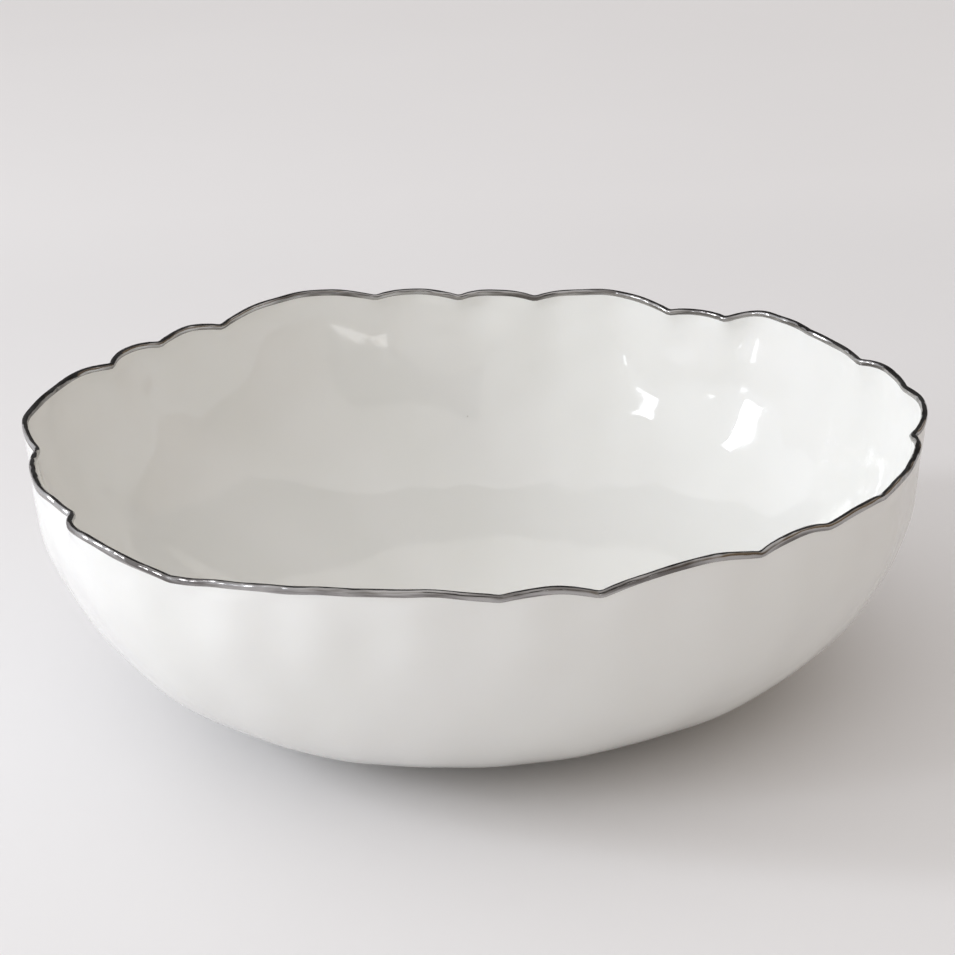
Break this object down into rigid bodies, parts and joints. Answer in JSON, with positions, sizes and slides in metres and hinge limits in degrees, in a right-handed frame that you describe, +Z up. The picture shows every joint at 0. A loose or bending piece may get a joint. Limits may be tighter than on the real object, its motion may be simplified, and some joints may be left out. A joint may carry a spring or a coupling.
{
  "type": "serving bowl",
  "caption": "Large round porcelain serving bowl with an irregular scalloped rim edged in a narrow band of silvery metal lustre, glazed white, on a low foot ring.",
  "frame": {"origin": "middle of the foot ring's lower face, where the bowl meets the table", "axes": "+Z up out of the bowl, -Y towards the side seen from the front"},
  "size_m": [0.3683, 0.3514, 0.1154],
  "materials": {
    "porcelain": "fired white porcelain, matte where bare",
    "bare_porcelain": "unglazed, smooth-ground foot",
    "white_glaze": "clear glossy glaze over white",
    "metal_lustre": "polished platinum-coloured lustre"
  },
  "bodies": {
    "root": {"porcelain_body": "porcelain", "foot_ring": "bare_porcelain", "inside_glaze": "white_glaze", "outside_glaze": "white_glaze", "underside_glaze": "white_glaze", "rim_band": "metal_lustre"}
  },
  "joints": []
}
